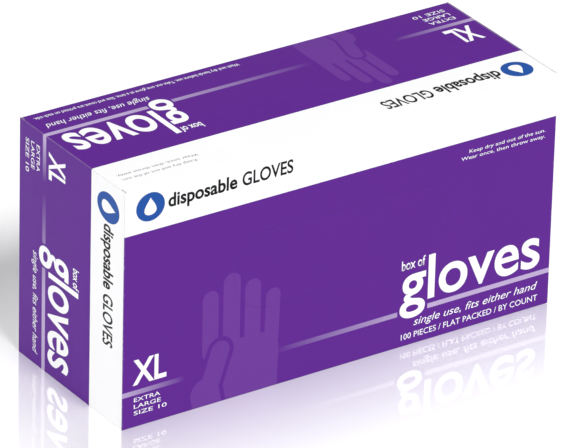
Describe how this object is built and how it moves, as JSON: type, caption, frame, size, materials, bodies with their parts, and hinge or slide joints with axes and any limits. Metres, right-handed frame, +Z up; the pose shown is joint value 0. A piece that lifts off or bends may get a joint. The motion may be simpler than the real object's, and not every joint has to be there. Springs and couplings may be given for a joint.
{
  "type": "disposable glove dispenser carton",
  "caption": "Long paperboard dispenser carton of flat black disposable gloves, with a perforated tear-out opening in its front and a hinged tuck closure at each end.",
  "frame": {"origin": "centre of the face the carton stands on", "axes": "+X along the carton's length towards its right end, +Y from the front panel towards the back panel, +Z up"},
  "size_m": [0.24, 0.09, 0.122],
  "materials": {
    "printed_board": "solid paperboard, coated and printed on its outer side, satin purple with a white band",
    "plain_board": "solid paperboard, the uncoated inner side, matte",
    "black_nitrile": "black nitrile rubber, matte"
  },
  "bodies": {
    "carton": {"front_panel": "printed_board", "top_panel": "printed_board", "back_panel": "printed_board", "bottom_panel": "printed_board", "glue_flap": "plain_board", "glove_01": "black_nitrile", "glove_02": "black_nitrile", "glove_03": "black_nitrile", "glove_04": "black_nitrile", "glove_05": "black_nitrile", "glove_06": "black_nitrile", "glove_07": "black_nitrile", "glove_08": "black_nitrile", "glove_09": "black_nitrile", "glove_10": "black_nitrile", "glove_bundle_1": "black_nitrile", "glove_bundle_2": "black_nitrile", "glove_bundle_3": "black_nitrile", "glove_bundle_4": "black_nitrile", "glove_bundle_5": "black_nitrile", "glove_bundle_6": "black_nitrile", "glove_bundle_7": "black_nitrile", "glove_bundle_8": "black_nitrile", "glove_bundle_9": "black_nitrile"},
    "tear_out": {"tear_out_panel": "printed_board"},
    "left_closure": {"left_end_closure": "printed_board"},
    "left_tab": {"left_tuck_tab": "printed_board"},
    "left_upper_flap": {"left_upper_dust_flap": "printed_board"},
    "left_lower_flap": {"left_lower_dust_flap": "printed_board"},
    "right_closure": {"right_end_closure": "printed_board"},
    "right_tab": {"right_tuck_tab": "printed_board"},
    "right_upper_flap": {"right_upper_dust_flap": "printed_board"},
    "right_lower_flap": {"right_lower_dust_flap": "printed_board"}
  },
  "joints": [
    {"name": "tear_out_pull", "type": "slide", "parent": "carton", "child": "tear_out", "axis": [0, -1, 0], "range_m": [0, 0.06]},
    {"name": "left_closure_fold", "type": "hinge", "parent": "carton", "child": "left_closure", "pos_m": [-0.11975, 0.04475, 0.061], "axis": [0, 0, -1], "range_deg": [0, 135]},
    {"name": "left_tab_fold", "type": "hinge", "parent": "left_closure", "child": "left_tab", "pos_m": [-0.11975, -0.04395, 0.061], "axis": [0, 0, -1], "range_deg": [0, 45]},
    {"name": "left_upper_flap_fold", "type": "hinge", "parent": "carton", "child": "left_upper_flap", "pos_m": [-0.11895, 0, 0.12175], "axis": [0, 1, 0], "range_deg": [0, 90]},
    {"name": "left_lower_flap_fold", "type": "hinge", "parent": "carton", "child": "left_lower_flap", "pos_m": [-0.11895, 0, 0.00025], "axis": [0, -1, 0], "range_deg": [0, 90]},
    {"name": "right_closure_fold", "type": "hinge", "parent": "carton", "child": "right_closure", "pos_m": [0.11975, 0.04475, 0.061], "axis": [0, 0, 1], "range_deg": [0, 135]},
    {"name": "right_tab_fold", "type": "hinge", "parent": "right_closure", "child": "right_tab", "pos_m": [0.11975, -0.04395, 0.061], "axis": [0, 0, 1], "range_deg": [0, 45]},
    {"name": "right_upper_flap_fold", "type": "hinge", "parent": "carton", "child": "right_upper_flap", "pos_m": [0.11895, 0, 0.12175], "axis": [0, -1, 0], "range_deg": [0, 90]},
    {"name": "right_lower_flap_fold", "type": "hinge", "parent": "carton", "child": "right_lower_flap", "pos_m": [0.11895, 0, 0.00025], "axis": [0, 1, 0], "range_deg": [0, 90]}
  ],
  "couplings": [
    {"joint": "left_tab_fold", "follows": "left_closure_fold", "ratio": 0.3},
    {"joint": "left_upper_flap_fold", "follows": "left_closure_fold", "ratio": 0.65},
    {"joint": "left_lower_flap_fold", "follows": "left_closure_fold", "ratio": 0.65},
    {"joint": "right_tab_fold", "follows": "right_closure_fold", "ratio": 0.3},
    {"joint": "right_upper_flap_fold", "follows": "right_closure_fold", "ratio": 0.65},
    {"joint": "right_lower_flap_fold", "follows": "right_closure_fold", "ratio": 0.65}
  ]
}
